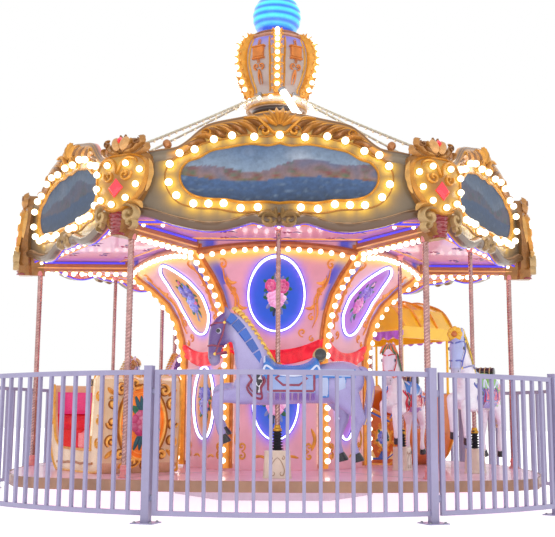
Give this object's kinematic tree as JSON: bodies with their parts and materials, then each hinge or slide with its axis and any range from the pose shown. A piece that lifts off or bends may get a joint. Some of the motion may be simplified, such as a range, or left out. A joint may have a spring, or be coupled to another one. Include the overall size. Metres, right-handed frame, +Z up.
{
  "type": "fairground carousel",
  "caption": "Six-bay fairground carousel with jumping horses, two seat carriages, lit centre and boards, crown with ball, and a ring fence with a gate.",
  "frame": {"origin": "ground level on the axis of rotation", "axes": "+Z up along the axis of rotation, -Y towards the front bay"},
  "size_m": [6.3147, 6.2837, 5.325],
  "materials": {
    "fence_paint": "stove-enamelled lavender grey steel tube",
    "pole_brass": "twisted polished brass tube",
    "horse_lacquer": "moulded glass-fibre shell with gloss lacquer",
    "post_brass": "twisted polished brass tube",
    "board_paint": "moulded glass-fibre board, painted and gilded",
    "shield_gilt": "moulded glass-fibre shield, gilded",
    "base_steel": "satin black painted steel",
    "deck_paint": "pale pink painted chequer deck",
    "rim_paint": "brown painted edge strip",
    "ceiling_paint": "pink painted panels",
    "centre_paint": "pink painted moulded panels",
    "roof_skin": "moulded roof shell",
    "crown_gilt": "gilded moulding",
    "ball_plastic": "lit ribbed plastic globe",
    "chariot_cream": "cream lacquered moulding",
    "chariot_orange": "orange lacquered moulding",
    "canopy_yellow": "yellow lacquered moulding"
  },
  "bodies": {
    "base": {"base_frame": "base_steel", "fence_panel_1": "fence_paint", "fence_panel_2": "fence_paint", "fence_panel_3": "fence_paint", "fence_panel_4": "fence_paint", "fence_panel_5": "fence_paint", "fence_panel_6": "fence_paint", "fence_panel_7": "fence_paint", "fence_panel_8": "fence_paint"},
    "gate": {"fence_gate": "fence_paint"},
    "turntable": {"canopy_chariot": "chariot_orange", "ceiling": "ceiling_paint", "centre_column": "centre_paint", "centre_cornice": "centre_paint", "centre_mast": "base_steel", "chariot_canopy": "canopy_yellow", "corner_post_1": "post_brass", "corner_post_2": "post_brass", "corner_post_3": "post_brass", "corner_post_4": "post_brass", "corner_post_5": "post_brass", "corner_post_6": "post_brass", "crown": "crown_gilt", "crown_ball": "ball_plastic", "platform_deck": "deck_paint", "platform_rim": "rim_paint", "roof": "roof_skin", "rose_chariot": "chariot_cream", "rounding_board_1": "board_paint", "rounding_board_2": "board_paint", "rounding_board_3": "board_paint", "rounding_board_4": "board_paint", "rounding_board_5": "board_paint", "rounding_board_6": "board_paint", "shield_1": "shield_gilt", "shield_2": "shield_gilt", "shield_3": "shield_gilt", "shield_4": "shield_gilt", "shield_5": "shield_gilt", "shield_6": "shield_gilt"},
    "horse_body_1": {"horse_1": "horse_lacquer", "horse_pole_1": "pole_brass"},
    "horse_body_2": {"horse_2": "horse_lacquer", "horse_pole_2": "pole_brass"},
    "horse_body_3": {"horse_3": "horse_lacquer", "horse_pole_3": "pole_brass"},
    "horse_body_4": {"horse_4": "horse_lacquer", "horse_pole_4": "pole_brass"},
    "horse_body_5": {"horse_5": "horse_lacquer", "horse_pole_5": "pole_brass"},
    "horse_body_6": {"horse_6": "horse_lacquer", "horse_pole_6": "pole_brass"}
  },
  "joints": [
    {"name": "turntable_spin", "type": "hinge", "parent": "base", "child": "turntable", "pos_m": [0, 0, 0.2], "axis": [0, 0, -1], "continuous": true},
    {"name": "gate_hinge", "type": "hinge", "parent": "base", "child": "gate", "pos_m": [1.15966, -2.87535, 0.55], "axis": [0, 0, -1], "range_deg": [0, 85]},
    {"name": "horse_lift_1", "type": "slide", "parent": "turntable", "child": "horse_body_1", "axis": [0, 0, 1], "range_m": [-0.09, 0.09]},
    {"name": "horse_lift_2", "type": "slide", "parent": "turntable", "child": "horse_body_2", "axis": [0, 0, 1], "range_m": [-0.09, 0.09]},
    {"name": "horse_lift_3", "type": "slide", "parent": "turntable", "child": "horse_body_3", "axis": [0, 0, 1], "range_m": [-0.09, 0.09]},
    {"name": "horse_lift_4", "type": "slide", "parent": "turntable", "child": "horse_body_4", "axis": [0, 0, 1], "range_m": [-0.09, 0.09]},
    {"name": "horse_lift_5", "type": "slide", "parent": "turntable", "child": "horse_body_5", "axis": [0, 0, 1], "range_m": [-0.09, 0.09]},
    {"name": "horse_lift_6", "type": "slide", "parent": "turntable", "child": "horse_body_6", "axis": [0, 0, 1], "range_m": [-0.09, 0.09]}
  ],
  "couplings": [
    {"joint": "horse_lift_2", "follows": "horse_lift_1", "ratio": -1},
    {"joint": "horse_lift_3", "follows": "horse_lift_1", "ratio": 1},
    {"joint": "horse_lift_4", "follows": "horse_lift_1", "ratio": -1},
    {"joint": "horse_lift_5", "follows": "horse_lift_1", "ratio": 1},
    {"joint": "horse_lift_6", "follows": "horse_lift_1", "ratio": -1}
  ]
}
